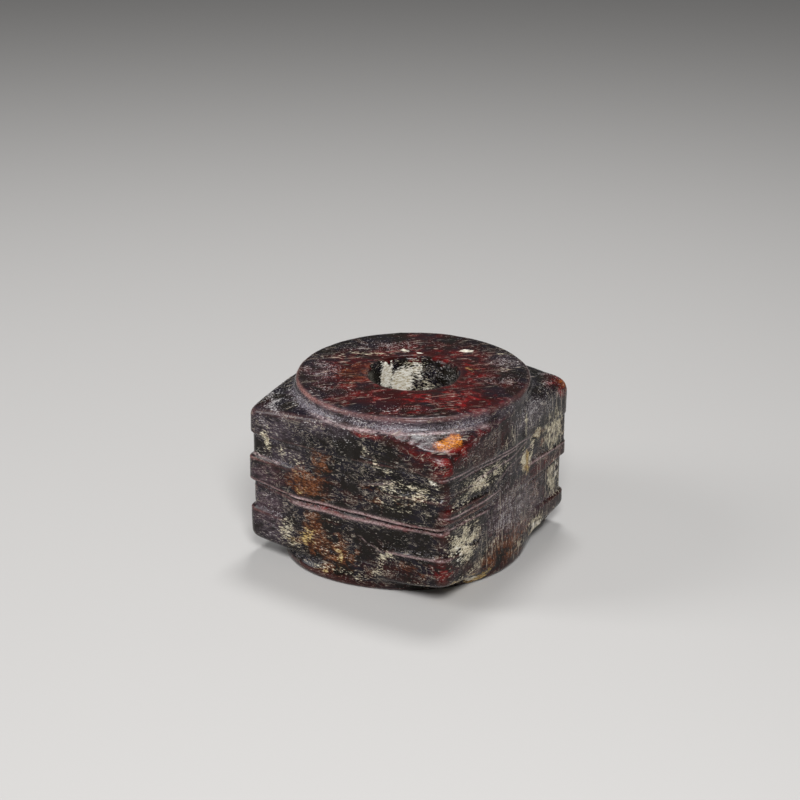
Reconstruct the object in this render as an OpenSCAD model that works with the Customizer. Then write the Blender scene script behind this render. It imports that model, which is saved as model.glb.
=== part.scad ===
// A squat jade cong: a round tube carved, from one block of stone, inside a
// square outer block with two tiers of raised bars on each corner.
// Origin at the middle of the face it stands on, +Z up, sides along X and Y.

/* [Block] */
// Height over all, between the faces of the two collars
total_h = 96.9; // [92:0.1:120]
// Width of the block along X, between opposite faces, measured at the corners
block_w = 124; // [112:1:150]
// Width of the block along Y, measured in the same way
block_d = 126.4; // [112:0.2:150]
// How far each convex face swells past the line between its two corners
face_bulge = 2; // [1.5:0.5:5]
// How far the +X face leans in from the far corner to the front one
face_lean = 2.6; // [0:0.1:4]
// How far the worn upright edges stand back from the true corner
edge_wear = 3; // [1:0.5:4]
// How far the circle of those edges lies off the bore's axis, towards -X and -Y
edge_shift = 1.2; // [0:0.1:2]

/* [Tube] */
// Diameter of the round upper collar
upper_collar_d = 124.5; // [118:0.5:127]
// Diameter of the round lower collar
lower_collar_d = 127; // [118:0.5:128]
// Height of the upper collar's wall
upper_collar_h = 6.2; // [4.5:0.1:12]
// Height of the lower collar's wall
lower_collar_h = 7; // [4.5:0.1:12]
// Radius of the rounded rim on each collar
rim_r = 2; // [1:0.25:3]
// Radius of the hollow curve where each collar meets the block
foot_r = 2.5; // [1:0.25:3.5]

/* [Bore] */
// Diameter of the bore at its two mouths
mouth_d = 47; // [40:0.5:60]
// Diameter of the straight waist, where the two drillings meet
waist_d = 43; // [30:0.5:46]
// Length of that straight waist
waist_l = 24; // [10:1:40]
// Width of the worn lip round each mouth
lip_w = 1.2; // [0.5:0.1:2]

/* [Side channels] */
// Width of the upright channel down the middle of each face
channel_w = 20; // [12:1:30]
// Depth of that channel below the swell of the face, where the tube allows it
channel_depth = 2; // [0.8:0.1:4]
// Diameter of the round tube wall that shows in the channels
channel_d = 124; // [121:0.5:124.5]
// Height over which that wall spreads to the lower collar
spread_h = 6; // [3:0.5:12]

/* [Lower tier] */
// Height of the nose bar on each corner
lower_nose_h = 15.5; // [8:0.5:19]
// Reach of that nose bar from the corner along each face
lower_nose_l = 32; // [15:1:38]
// Height of the sunk field above it
lower_field_h = 11.5; // [8:0.5:18]
// Height of the narrow rib over the field
lower_rib_h = 2; // [1.5:0.1:5]

/* [Upper tier] */
// Height of the groove that divides the two tiers
tier_groove_h = 3; // [1.2:0.1:4]
// Height of the nose bar, which runs from the corner to the channel
upper_nose_h = 12; // [6:0.5:16]
// Height of the sunk field above it
upper_field_h = 13; // [8:0.5:18]
// Height of the narrow rib over the field
upper_rib_h = 2; // [1.2:0.1:5]
// Height of the fine groove between that rib and the plain top band
fine_groove_h = 1.2; // [1:0.1:3]

/* [Relief] */
// Depth of the sunk fields below the bars
field_depth = 1.6; // [0.8:0.1:2.5]
// Depth of the ribs below the bars
rib_depth = 0.6; // [0.2:0.1:0.7]
// Depth of the grooves below the bars
groove_depth = 2.2; // [1:0.1:3]
// Depth of the -Y face's tier groove below the channel that it crosses
crossing_depth = 1.4; // [0.6:0.1:2]
// Height taken by the sloping shoulder between two depths
shoulder_h = 0.8; // [0.4:0.1:0.9]

/* [Ledges] */
// Fall of the top ledges, from the collar out to the corner
ledge_drop = 6; // [2:0.5:10]
// Rise of the underside, from the collar out to the corner
under_rise = 5.5; // [2:0.5:10]

/* [Hidden] */

// Fineness of the turned tube, and of the much larger circles of the convex faces
tube_fn = 144;
face_fn = 720;
// Steps in a quarter turn of a rim, lip or foot curve
arc_steps = 4;
// How far one solid reaches into another where they join
bite = 0.3;
// How far a cutter reaches past what it cuts
over = 5;

half_w = block_w / 2;
half_d = block_d / 2;
corner_r = norm([half_w, half_d]) - edge_wear;
// Each convex face is part of a circle through its two corners and its swell
face_r = (pow(half_w, 2) + pow(face_bulge, 2)) / (2 * face_bulge);

// The four faces: which way each looks, how far out it stands, and its lean
faces = [[0, half_d, 0], [90, half_w, 0], [180, half_d, 0], [270, half_w, face_lean]];

under_z = lower_collar_h;
corner_z0 = under_z + under_rise;
ledge_z = total_h - upper_collar_h;

// The faces from the bottom corner up: height and depth of each level.
// The plain band above them takes the rest of the height.
levels = [
    [lower_nose_h + lower_field_h, field_depth],
    [lower_rib_h, rib_depth],
    [tier_groove_h, groove_depth],
    [upper_nose_h, 0],
    [upper_field_h, field_depth],
    [upper_rib_h, rib_depth],
    [fine_groove_h, groove_depth],
];
last = len(levels);
level_z = [for (i = 0, z = corner_z0; i <= last; z = i < last ? z + levels[i][0] : z, i = i + 1) z];
groove_level = 2;

function arc(cx, cz, r, from, to) = [
    for (i = [0:arc_steps])
        let (a = from + (to - from) * i / arc_steps)
            [cx + r * cos(a), cz + r * sin(a)]
];

// Outline of one carved face, as radius and height about the face's own axis
function face_outline() = concat(
    [[0, 0]],
    [for (i = [0:last - 1])
        let (z0 = i == 0 ? 0 : level_z[i] + shoulder_h / 2, z1 = level_z[i + 1] - shoulder_h / 2)
            each [[face_r - levels[i][1], z0], [face_r - levels[i][1], z1]]],
    [[face_r, level_z[last] + shoulder_h / 2], [face_r, total_h], [0, total_h]]
);

// Outline of one raised bar between two heights, with sloping shoulders
function bar_outline(z0, z1) =
    let (slope = shoulder_h / field_depth, deep = field_depth + bite)
        [[0, z0 - slope * bite], [face_r - deep, z0 - slope * bite],
         [face_r, z0 + shoulder_h], [face_r, z1 - shoulder_h],
         [face_r - deep, z1 + slope * bite], [0, z1 + slope * bite]];

// Where the circle of a face has its centre, and how far out its swell reaches
function centre(face) =
    let (lean = atan(face[2] / block_d), back = face_r - face_bulge)
        [-back * sin(lean), face[1] - face[2] / 2 - back * cos(lean), 0];
function swell(face) = face[1] - face[2] / 2 + face_bulge;

// Four turned discs that cross, one to a face, leave the convex-sided square
module four_faces(outline) {
    intersection_for (face = faces)
        rotate(face[0])
            translate(centre(face))
                rotate_extrude($fn = face_fn)
                    polygon(outline);
}

// Turned limits of the block: its ledges, and the hollow curves at their feet
module ledges() {
    upper_r = upper_collar_d / 2 + foot_r - bite / 2;
    lower_r = lower_collar_d / 2 + foot_r - bite / 2;
    far_r = corner_r + over;
    fall = ledge_drop / (corner_r - upper_r);
    rise = under_rise / (corner_r - lower_r);
    rotate_extrude($fn = tube_fn)
        polygon(concat(
            [[0, under_z - foot_r]],
            arc(lower_r, under_z - foot_r + bite, foot_r, 180, 90 + atan(rise)),
            [[far_r, under_z + rise * (far_r - lower_r)], [far_r, ledge_z - fall * (far_r - upper_r)]],
            arc(upper_r, ledge_z + foot_r - bite, foot_r, 270 - atan(fall), 180),
            [[0, ledge_z + foot_r]]
        ));
}

// Short nose bars of the lower tier, with a gap in the middle of each face
module lower_nose_bars() {
    gap = block_w - 2 * lower_nose_l;
    difference() {
        four_faces(bar_outline(-over, corner_z0 + lower_nose_h));
        for (face = faces)
            rotate(face[0])
                translate([-gap / 2, half_w / 2, -2 * over])
                    cube([gap, block_d, total_h]);
    }
}

module channels() {
    for (face = faces)
        rotate(face[0])
            translate([-channel_w / 2, swell(face) - channel_depth, -over])
                cube([channel_w, channel_depth + over, total_h + 2 * over]);
}

module block() {
    difference() {
        intersection() {
            union() {
                four_faces(face_outline());
                lower_nose_bars();
            }
            ledges();
            translate([-edge_shift, -edge_shift, 0])
                cylinder(r = corner_r, h = total_h, $fn = tube_fn);
        }
        channels();
    }
}

// The round tube: collars above and below, and the wall seen in the channels
module tube() {
    upper_r = upper_collar_d / 2;
    lower_r = lower_collar_d / 2;
    channel_r = channel_d / 2;
    rotate_extrude($fn = tube_fn)
        polygon(concat(
            [[0, 0]],
            arc(lower_r - rim_r, rim_r, rim_r, 270, 360),
            [[lower_r, under_z], [channel_r, under_z + spread_h]],
            [[channel_r, ledge_z - bite], [upper_r, ledge_z]],
            arc(upper_r - rim_r, total_h - rim_r, rim_r, 0, 90),
            [[0, total_h]]
        ));
}

// The -Y face's tier groove runs on across its channel
module crossing_groove() {
    face = faces[2];
    floor_r = face_r - channel_depth - crossing_depth;
    rotate(face[0])
        translate([0, 0, level_z[groove_level]])
            intersection() {
                translate(centre(face))
                    difference() {
                        cylinder(r = face_r + over, h = tier_groove_h, $fn = face_fn);
                        translate([0, 0, -over])
                            cylinder(r = floor_r, h = tier_groove_h + 2 * over, $fn = face_fn);
                    }
                translate([-channel_w / 2 - bite, 0, -over])
                    cube([channel_w + 2 * bite, block_d, tier_groove_h + 2 * over]);
            }
}

// Drilled from both ends: tapering to a straight waist in the middle
module bore() {
    waist_r = waist_d / 2;
    mouth_r = mouth_d / 2;
    waist_z0 = (total_h - waist_l) / 2;
    rotate_extrude($fn = tube_fn)
        polygon([
            [0, -over],
            [mouth_r + lip_w + over, -over],
            [mouth_r, lip_w],
            [waist_r, waist_z0],
            [waist_r, waist_z0 + waist_l],
            [mouth_r, total_h - lip_w],
            [mouth_r + lip_w + over, total_h + over],
            [0, total_h + over],
        ]);
}

module cong() {
    color("#5a2b22")
        difference() {
            union() {
                block();
                tube();
            }
            crossing_groove();
            bore();
        }
}

cong();
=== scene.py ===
"""The jade cong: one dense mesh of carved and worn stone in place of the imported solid,
with its floor, lamps and camera."""
import math

import bpy
import numpy as np
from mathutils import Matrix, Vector


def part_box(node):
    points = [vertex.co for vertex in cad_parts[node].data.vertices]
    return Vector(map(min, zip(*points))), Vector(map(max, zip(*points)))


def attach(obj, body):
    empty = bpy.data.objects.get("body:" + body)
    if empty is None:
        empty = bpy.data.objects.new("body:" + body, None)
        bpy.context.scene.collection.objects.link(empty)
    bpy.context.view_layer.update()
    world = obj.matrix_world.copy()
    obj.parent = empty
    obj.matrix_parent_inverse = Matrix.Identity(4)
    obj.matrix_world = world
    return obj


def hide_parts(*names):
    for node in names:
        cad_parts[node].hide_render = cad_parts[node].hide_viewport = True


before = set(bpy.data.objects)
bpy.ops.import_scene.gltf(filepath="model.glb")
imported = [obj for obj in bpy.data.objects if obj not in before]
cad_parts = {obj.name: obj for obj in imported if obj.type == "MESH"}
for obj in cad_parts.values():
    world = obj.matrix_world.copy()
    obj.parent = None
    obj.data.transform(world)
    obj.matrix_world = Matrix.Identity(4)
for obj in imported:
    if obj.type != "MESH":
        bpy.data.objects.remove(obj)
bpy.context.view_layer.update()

MM = 0.001

# Heights and radii of the turned parts, in mm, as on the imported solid
TOTAL_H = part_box("cong")[1][2] / MM
UPPER_R = 62.25
LOWER_R = 63.5
CHANNEL_R = 62.0
COLLAR_Z = 90.7
FOOT_Z = 7.0
MOUTH_R = 23.5
WAIST_R = 21.5
WAIST_HALF = 12.0

# Corners of the worn block in plan, in mm: left, front, right and back in the photo.
# Face 0 is the left one in the photo, face 1 the right one, 2 and 3 the hidden ones.
CORNERS = np.array([[-63.5, -63.5], [59.4, -62.9], [61.2, 62.3], [-62.0, 63.0]])
SWELL = [2.4, 1.6, 2.0, 1.8]
CORNER_ANGLES = np.arctan2(CORNERS[:, 1], CORNERS[:, 0])

# Fall of the ledge, and rise of the underside, out to each corner
LEDGE_FALL = [6.0, 7.5, 3.6, 5.5]
UNDER_RISE = [2.8, 6.5, 4.5, 6.0]
# How far beyond its collar a ledge has fallen, or risen, by so much
LEDGE_REACH = 23.0
# How far the edge of the ledge is rounded at each corner
LEDGE_ROUND = [3.6, 4.2, 8.0, 4.5]
# How far the other edges are rounded, and the hollows at the collars' feet filled, in mm
CORNER_ROUND = 5.0
UNDER_ROUND = 4.5
FACET_ROUND = 3.0
RIM_ROUND = 3.0
MOUTH_ROUND = 2.2
HOLLOW_ROUND = 3.0
# Heights between which the tube's wall spreads to each collar, and between which the
# hollow over the lower one fills out
UPPER_SPREAD = (84, 88)
LOWER_SPREAD = (11, 3)
FOOT_FILL = (16, 8)
# Turns a height above a ledge into a distance from it
LEDGE_TILT = 0.97

# Radius of the lower collar, and its swelling: how far it stands out, its direction
# and its half width
FOOT_R = 62.3
FOOT_SWELLING = 8.4
FOOT_WAY = math.radians(-124)
FOOT_SPAN = math.radians(37)

# Half the length of a face along u, and the depth below which no carving is worked out
HALF_FACE = 62.0
CARVED_DEEP = 14.0

# Edges between the carved levels of each face, from the bottom up, as (u, z) points in mm.
# u runs along the face the way x does on face 0 and y on face 1.
EDGES = [
    [
        [(-62, 28.6), (-47, 27.7), (-30, 27.0), (6, 27.5), (29, 27.0), (38, 27.7), (60, 29.0)],
        [(-62, 41.0), (-42, 39.8), (-29, 38.3), (-8, 39.0), (17, 40.6), (46, 42.4), (60, 43.0)],
        [(-62, 44.4), (-50, 43.4), (-28, 41.4), (-3, 42.3), (21, 43.0), (40, 43.6), (60, 44.6)],
        [(-62, 58.2), (-41, 58.0), (-8, 59.0), (9, 59.4), (34, 59.2), (46, 60.5), (60, 61.0)],
        [(-62, 70.8), (-30, 71.6), (0, 72.0), (22, 72.4), (36, 73.4), (46, 72.4), (60, 70.5)],
    ],
    [
        [(-62, 30.2), (-54, 29.4), (-32, 27.4), (0, 24.0), (30, 21.5), (45, 21.0), (62, 21.5)],
        [(-62, 43.6), (-37, 42.6), (-13, 42.0), (13, 39.8), (24, 39.6), (54, 40.4), (62, 40.6)],
        [(-62, 48.4), (-37, 45.9), (-22, 45.5), (-13, 46.5), (13, 42.0), (24, 41.8), (62, 43.0)],
        [(-62, 55.4), (-37, 53.5), (-25, 52.5), (-13, 50.5), (14, 51.8), (20, 52.2), (62, 51.0)],
        [(-62, 74.3), (-32, 70.9), (-13, 70.0), (5, 69.9), (21, 68.3), (62, 67.0)],
    ],
    [
        [(-62, 21.5), (-40, 23.0), (0, 25.5), (62, 28.0)],
        [(-62, 40.6), (62, 41.5)],
        [(-62, 43.0), (62, 44.5)],
        [(-62, 51.0), (-30, 54.0), (62, 56.5)],
        [(-62, 67.0), (-30, 70.5), (62, 72.0)],
    ],
    [
        [(-62, 28.0), (0, 27.0), (62, 28.6)],
        [(-62, 41.5), (62, 41.0)],
        [(-62, 44.5), (62, 44.4)],
        [(-62, 56.5), (62, 58.2)],
        [(-62, 72.0), (62, 70.8)],
    ],
]

# Depth of each level of each face, from the bottom up, as (u, depth) points in mm
DEPTHS = [
    [
        [(-62, 0.2), (-40, 0.5), (-24, 1.4), (6, 1.5), (40, 0.4), (60, 0.1)],
        [(-62, 1.9), (-40, 1.6), (-20, 1.0), (15, 1.2), (35, 1.7), (60, 1.8)],
        [(-62, 2.2), (-45, 1.7), (-15, 1.1), (30, 1.1), (50, 1.5), (60, 2.2)],
        [(-62, 0.1), (-35, 0.2), (-10, 0.8), (10, 0.8), (35, 0.4), (60, 0.2)],
        [(-62, 1.9), (-35, 1.4), (-10, 0.9), (10, 0.9), (35, 1.8), (60, 1.9)],
        [(-62, 0.9), (-30, 0.3), (0, 0.2), (30, 0.0), (60, 0.0)],
    ],
    [
        [(-62, 0.1), (-32, 0.3), (-26, 1.6), (26, 1.8), (34, 0.9), (62, 0.8)],
        [(-62, 1.7), (-35, 1.6), (-10, 1.4), (10, 1.8), (62, 2.3)],
        [(-62, 2.2), (-35, 2.3), (-12, 2.0), (12, 2.6), (62, 2.4)],
        [(-62, 0.0), (-35, 0.1), (-12, 0.7), (12, 0.3), (62, 0.2)],
        [(-62, 1.6), (-35, 1.5), (-10, 1.0), (10, 1.1), (40, 1.0), (62, 0.5)],
        [(-62, 0.0), (-10, 0.1), (10, 0.1), (62, 0.1)],
    ],
    [
        [(-62, 0.8), (-32, 0.8), (-25, 1.7), (25, 1.7), (32, 0.3), (62, 0.3)],
        [(-62, 2.2), (0, 1.4), (62, 1.8)],
        [(-62, 2.4), (0, 2.3), (62, 2.2)],
        [(-62, 0.2), (0, 0.8), (62, 0.2)],
        [(-62, 0.6), (-30, 1.2), (0, 0.9), (62, 1.7)],
        [(-62, 0.1), (62, 0.3)],
    ],
    [
        [(-62, 0.3), (-32, 0.3), (-25, 1.7), (25, 1.7), (32, 0.2), (62, 0.2)],
        [(-62, 1.8), (0, 1.3), (62, 1.9)],
        [(-62, 2.2), (0, 2.3), (62, 2.0)],
        [(-62, 0.2), (0, 0.8), (62, 0.1)],
        [(-62, 1.7), (0, 1.0), (62, 1.9)],
        [(-62, 0.3), (0, 0.2), (62, 0.9)],
    ],
]
# Height over which each of the edges slopes, from the bottom up
EDGE_SOFT = [2.4, 1.6, 1.6, 2.2, 2.0]

# Upright channel in the middle of each face: its two sides, and its depth
CHANNELS = [(-8.5, 6.0, 0.7), (-14.0, 11.0, 1.1), (-10.5, 10.0, 2.4), (-10.0, 10.5, 2.4)]
CHANNEL_SOFT = 5.0
# Low and high end of the band where the tier groove crosses a channel, and its softness
CROSSING = (38, 46, 6)

# Lines cut into the faces, or raised where their depth is below 0: face, points (u, z),
# half width, depth, and how pale they are worn
LINES = [
    (0, [(-54, 43.4), (-28, 40.4), (4, 41.3), (30, 42.5), (60, 44.0)], 0.6, 1.4, 0.0),
    (0, [(-36, 42.8), (-28, 42.0), (4, 43.1), (38, 44.4)], 1.0, -0.45, 1.0),
    (0, [(32, 44.2), (60, 45.4)], 0.6, -0.3, 0.6),
    (0, [(-36, 38.4), (-30, 38.0), (-8, 38.6), (12, 39.8), (38, 41.4)], 1.0, -0.45, 0.9),
    (0, [(32, 41.1), (60, 42.7)], 0.6, -0.3, 0.5),
    (0, [(-60, 45.4), (-48, 44.0), (-34, 42.6)], 0.4, -0.2, 0.6),
    (0, [(9, 59.6), (23, 63.1), (32, 66.0)], 0.6, 0.5, 0.3),
    (0, [(7, 31.5), (13, 28.0), (20, 25.4), (26, 23.6)], 0.35, 0.3, 0.6),
    (0, [(10, 76.0), (24, 74.8), (40, 74.0), (55, 71.5)], 0.8, 0.6, 0.0),
    (0, [(24, 25.6), (38, 26.6), (50, 27.6), (60, 28.6)], 0.55, -0.4, 0.8),
    (0, [(-62, 59.4), (-50, 59.0), (-40, 58.4)], 0.7, -0.3, 0.8),
    (0, [(-20, 17.5), (0, 15.0), (20, 16.0)], 0.8, 0.5, 0.0),
    (1, [(-62, 72.4), (-46, 70.6), (-34, 70.4), (-11, 68.8), (5, 68.6), (22, 67.2)],
     0.4, -0.25, 0.9),
    (1, [(-50, 68.2), (-34, 68.0), (-14, 67.0), (8, 67.0)], 0.35, 0.3, 0.9),
    (1, [(-36, 62.1), (-18, 63.0), (0, 63.7), (17, 66.5)], 0.4, 0.5, 0.8),
    (1, [(-17, 51.9), (-5, 58.8), (10, 60.6), (25, 61.8)], 0.4, 0.5, 0.6),
    (1, [(-58, 62.5), (-37, 60.8), (-22, 56.4)], 0.4, 0.5, 0.3),
    (1, [(-62, 51.8), (-36, 49.6), (-11, 48.7)], 0.4, -0.3, 1.0),
    (1, [(-56, 43.8), (-40, 42.6), (-21, 41.2)], 0.4, -0.2, 0.8),
    (1, [(14, 52.0), (43, 50.6), (62, 50.0)], 0.4, -0.2, 0.9),
    (1, [(14, 40.6), (50, 41.8), (62, 42.2)], 0.4, -0.2, 0.7),
]

# A line that starts or ends within this of the middle fades out over LINE_FADE there
LINE_REACH = 50
LINE_FADE = 4

# A facet worn on the front upper corner: its outward direction, and how far out it lies
FACET_WAY = np.array([0.53, -0.66, 0.53])
FACET_AT = 113.2


def fade(t):
    """Smooth step from 0 to 1 as t goes from 0 to 1."""
    t = np.clip(t, 0, 1)
    return t * t * (3 - 2 * t)


def rise(x, start, end):
    """Smooth step from 0 at start to 1 at end, which may be the lower one."""
    return fade((x - start) / (end - start))


def between(x, low, high, soft):
    """1 between low and high, falling to 0 over soft on each side."""
    return fade((x - low) / soft + 0.5) * fade((high - x) / soft + 0.5)


def carve(a, b, k):
    """Smooth intersection of two distances, with the edge rounded over k."""
    h = np.clip(0.5 + 0.5 * (a - b) / k, 0, 1)
    return b + (a - b) * h + k * h * (1 - h)


def join(a, b, k):
    """Smooth union of two distances, with the hollow filled over k."""
    return -carve(-a, -b, k)


def hashed(x, y, z, seed):
    """A repeatable number from 0 to 1 for each point of a lattice."""
    n = (x * 374761393 + y * 668265263 + z * 2147483629 + seed * 1274126177) & 0xFFFFFFFF
    n = ((n ^ (n >> 13)) * 1274126177) & 0xFFFFFFFF
    n = ((n ^ (n >> 16)) * 2246822519) & 0xFFFFFFFF
    return ((n ^ (n >> 15)) & 0xFFFFFF) / float(0xFFFFFF)


def value_noise(p, size, seed):
    """Smooth noise from -1 to 1 with features about size mm across."""
    q = p / size
    cell = np.floor(q).astype(np.int64)
    f = q - cell
    f = f * f * f * (f * (f * 6 - 15) + 10)
    total = 0
    for dx, dy, dz in np.ndindex(2, 2, 2):
        weight = 1
        for axis, step in enumerate((dx, dy, dz)):
            weight = weight * (f[:, axis] if step else 1 - f[:, axis])
        total = total + weight * hashed(cell[:, 0] + dx, cell[:, 1] + dy, cell[:, 2] + dz, seed)
    return total * 2 - 1


def layered(p, size, octaves, seed):
    """Sum of finer and finer noise, from about -1 to 1."""
    parts = [value_noise(p, size / 2**i, seed + 17 * i) / 2**i for i in range(octaves)]
    return sum(parts) / (2 - 2.0 ** (1 - octaves))


def path(points, u):
    """Height of a line through (u, z) points at each u."""
    xs, zs = zip(*points)
    return np.interp(u, xs, zs)


def around(values, angle):
    """A value given at the four corners, carried smoothly round the block."""
    order = np.argsort(CORNER_ANGLES)
    marks = CORNER_ANGLES[order]
    marks = np.concatenate([[marks[-1] - 2 * np.pi], marks, [marks[0] + 2 * np.pi]])
    heights = np.array(values, float)[order]
    heights = np.concatenate([[heights[-1]], heights, [heights[0]]])
    return np.interp(angle, marks, heights)


def on_line(points, half, u, z):
    """1 on a line through (u, z) points, falling away over half on each side and at its ends."""
    first, last = points[0][0], points[-1][0]
    inside = fade((u - first) / LINE_FADE + (first < -LINE_REACH))
    inside = inside * fade((last - u) / LINE_FADE + (last > LINE_REACH))
    return inside * np.exp(-(((z - path(points, u)) / half) ** 2))


def relief(face, u, z):
    """Depth of the carving below a face, in mm, at u along it and height z."""
    depth = path(DEPTHS[face][0], u)
    under = depth
    for edge, soft, level in zip(EDGES[face], EDGE_SOFT, DEPTHS[face][1:]):
        here = path(level, u)
        depth = depth + (here - under) * fade((z - path(edge, u)) / soft + 0.5)
        under = here
    left, right, deep = CHANNELS[face]
    channel = between(u, left, right, CHANNEL_SOFT) * (1 - 0.5 * between(z, *CROSSING))
    depth = depth + (deep - 0.3 * depth) * channel
    for at, points, half, cut, _ in LINES:
        if at == face:
            depth = depth + cut * on_line(points, half, u, z)
    return depth


def face_lines(face):
    """First corner of a face in plan, its length, and its directions along and outward."""
    a, b = CORNERS[face], CORNERS[(face + 1) % 4]
    length = np.linalg.norm(b - a)
    way = (b - a) / length
    return a, length, way, np.array([way[1], -way[0]])


def swelling(face, s):
    """How far a face swells at a share s of its length."""
    return SWELL[face] * 4 * s * (1 - s)


def sides(p, wobble):
    """Distance outside the four carved faces, meeting in rounded corners."""
    found = None
    for face in range(4):
        a, length, way, out = face_lines(face)
        s = np.clip((p[:, :2] - a) @ way / length, -0.1, 1.1)
        u = np.clip(s * 2 * HALF_FACE - HALF_FACE, -HALF_FACE, HALF_FACE)
        near = (p[:, :2] - a) @ out
        live = near > -CARVED_DEEP
        depth = np.zeros(len(p))
        depth[live] = relief(face, u[live], (p[:, 2] + wobble)[live])
        f = near - swelling(face, s) + depth
        found = f if found is None else carve(found, f, CORNER_ROUND)
    return found


def ledge_height(r, angle):
    """Height of the ledge, which falls from the collar to the corners."""
    return COLLAR_Z - around(LEDGE_FALL, angle) * np.maximum(r - UPPER_R, 0) / LEDGE_REACH


def under_height(r, angle):
    """Height of the underside, which rises from the collar to the corners."""
    return FOOT_Z + around(UNDER_RISE, angle) * np.maximum(r - LOWER_R, 0) / LEDGE_REACH


def bore_radius(z):
    """The drillings taper from both mouths to a straight waist."""
    off = np.abs(z - TOTAL_H / 2)
    taper = np.clip((off - WAIST_HALF) / (TOTAL_H / 2 - WAIST_HALF), 0, 1)
    return WAIST_R + (MOUTH_R - WAIST_R) * taper


def foot_radius(angle):
    """The lower collar is uneven: it stands out below the left face."""
    off = (angle - FOOT_WAY + math.pi) % (2 * math.pi) - math.pi
    return FOOT_R + FOOT_SWELLING * np.exp(-((off / FOOT_SPAN) ** 2))


def solid(p, wobble):
    """Distance outside the whole stone, in mm. It is negative inside. The carved
    edges stray from their lines by the wobble given for each place."""
    r = np.hypot(p[:, 0], p[:, 1])
    angle = np.arctan2(p[:, 1], p[:, 0])
    z = p[:, 2]
    above, below = z - ledge_height(r, angle), under_height(r, angle) - z
    block = carve(sides(p, wobble), above * LEDGE_TILT, around(LEDGE_ROUND, angle))
    block = carve(block, below * LEDGE_TILT, UNDER_ROUND)
    block = carve(block, p @ FACET_WAY - FACET_AT, FACET_ROUND)
    # The tube's wall spreads to the collar above it, and more to the one below
    tube_r = CHANNEL_R + (UPPER_R - CHANNEL_R) * rise(z, *UPPER_SPREAD)
    tube_r = tube_r + (foot_radius(angle) - CHANNEL_R) * rise(z, *LOWER_SPREAD)
    tube = carve(carve(r - tube_r, z - TOTAL_H, RIM_ROUND), -z, RIM_ROUND)
    whole = join(block, tube, HOLLOW_ROUND + HOLLOW_ROUND * rise(z, *FOOT_FILL))
    return carve(whole, bore_radius(z) - r, MOUTH_ROUND)


# The mesh is a closed grid: columns round the tube, and rows from zone to zone
COLUMNS = 640
ROWS = {
    "bore": 40, "top": 52, "rim": 10, "shoulder": 44,
    "face": 120, "under": 36, "foot": 8, "base": 24,
}


def block_reach(angle):
    """Radius of the block's outline from the tube's axis, at each angle."""
    way_out = np.stack([np.cos(angle), np.sin(angle)], 1)
    reach = []
    for face in range(4):
        a, length, way, out = face_lines(face)
        ahead = np.maximum(way_out @ out, 0.2)
        r = (a @ out) / ahead
        for _ in range(4):
            s = np.clip((way_out * r[:, None] - a) @ way / length, 0, 1)
            r = (a @ out + swelling(face, s)) / ahead
        reach.append(r)
    # A smooth minimum of the four, which rounds the corners
    power = -28.0
    return sum(r**power for r in reach) ** (1 / power)


def column_angles():
    """Angles of the mesh's columns, evenly spaced along the block's outline."""
    fine = np.linspace(-np.pi, np.pi, 20001)
    r = block_reach(fine)
    x, y = r * np.cos(fine), r * np.sin(fine)
    run = np.concatenate([[0], np.cumsum(np.hypot(np.diff(x), np.diff(y)))])
    return np.interp(np.arange(COLUMNS) / COLUMNS * run[-1], run, fine)


def along(points, count):
    """So many places evenly spaced along a polyline of (r, z), for each column."""
    pts = np.array([np.broadcast_arrays(r, z, np.zeros(COLUMNS))[:2] for r, z in points])
    steps = np.linalg.norm(np.diff(pts, axis=0), axis=1)
    run = np.concatenate([np.zeros((1, COLUMNS)), np.cumsum(steps, 0)])
    run = run / run[-1]
    out = np.empty((count, 2, COLUMNS))
    column = np.arange(COLUMNS)
    for i in range(count):
        t = i / count
        k = np.clip((run <= t).sum(0) - 1, 0, len(points) - 2)
        w = (t - run[k, column]) / np.maximum(run[k + 1, column] - run[k, column], 1e-9)
        out[i] = (pts[k, :, column] * (1 - w)[:, None] + pts[k + 1, :, column] * w[:, None]).T
    return out


def cage(angle):
    """A ring of profiles close round the stone, as radius and height for each row and column."""
    reach = block_reach(angle)
    lip, rim = 1.2, 1.5
    wall_z, face_top, face_low, foot_z = 93.5, 79.0, 19.0, 3.0
    waist_low, waist_high = TOTAL_H / 2 - WAIST_HALF, TOTAL_H / 2 + WAIST_HALF
    foot = foot_radius(angle)
    low_out = np.maximum(reach, foot)
    zones = {
        "bore": [
            (MOUTH_R, lip), (WAIST_R, waist_low), (WAIST_R, waist_high),
            (MOUTH_R, TOTAL_H - lip), (MOUTH_R + lip, TOTAL_H),
        ],
        "top": [(MOUTH_R + lip, TOTAL_H), (UPPER_R - rim, TOTAL_H)],
        "rim": [(UPPER_R - rim, TOTAL_H), (UPPER_R, TOTAL_H - rim), (UPPER_R, wall_z)],
        "shoulder": [
            (UPPER_R, wall_z), (UPPER_R, COLLAR_Z),
            (reach, ledge_height(reach, angle)), (reach, face_top),
        ],
        "face": [(reach, face_top), (reach, face_low)],
        "under": [
            (reach, face_low), (low_out, under_height(low_out, angle)),
            (foot, FOOT_Z), (foot, foot_z),
        ],
        "foot": [(foot, foot_z), (foot, rim), (foot - rim, 0)],
        "base": [(foot - rim, 0), (MOUTH_R + lip, 0), (MOUTH_R, lip)],
    }
    return np.concatenate([along(zones[name], ROWS[name]) for name in ROWS])


def ways_out(profile, spread=4):
    """Outward direction of each place on the cage, smoothed over the rows beside it."""
    run = np.zeros_like(profile)
    for k in range(1, spread + 1):
        run += np.roll(profile, -k, 0) - np.roll(profile, k, 0)
    out = np.stack([-run[:, 1], run[:, 0]], 1)
    return out / np.linalg.norm(out, axis=1, keepdims=True)


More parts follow.
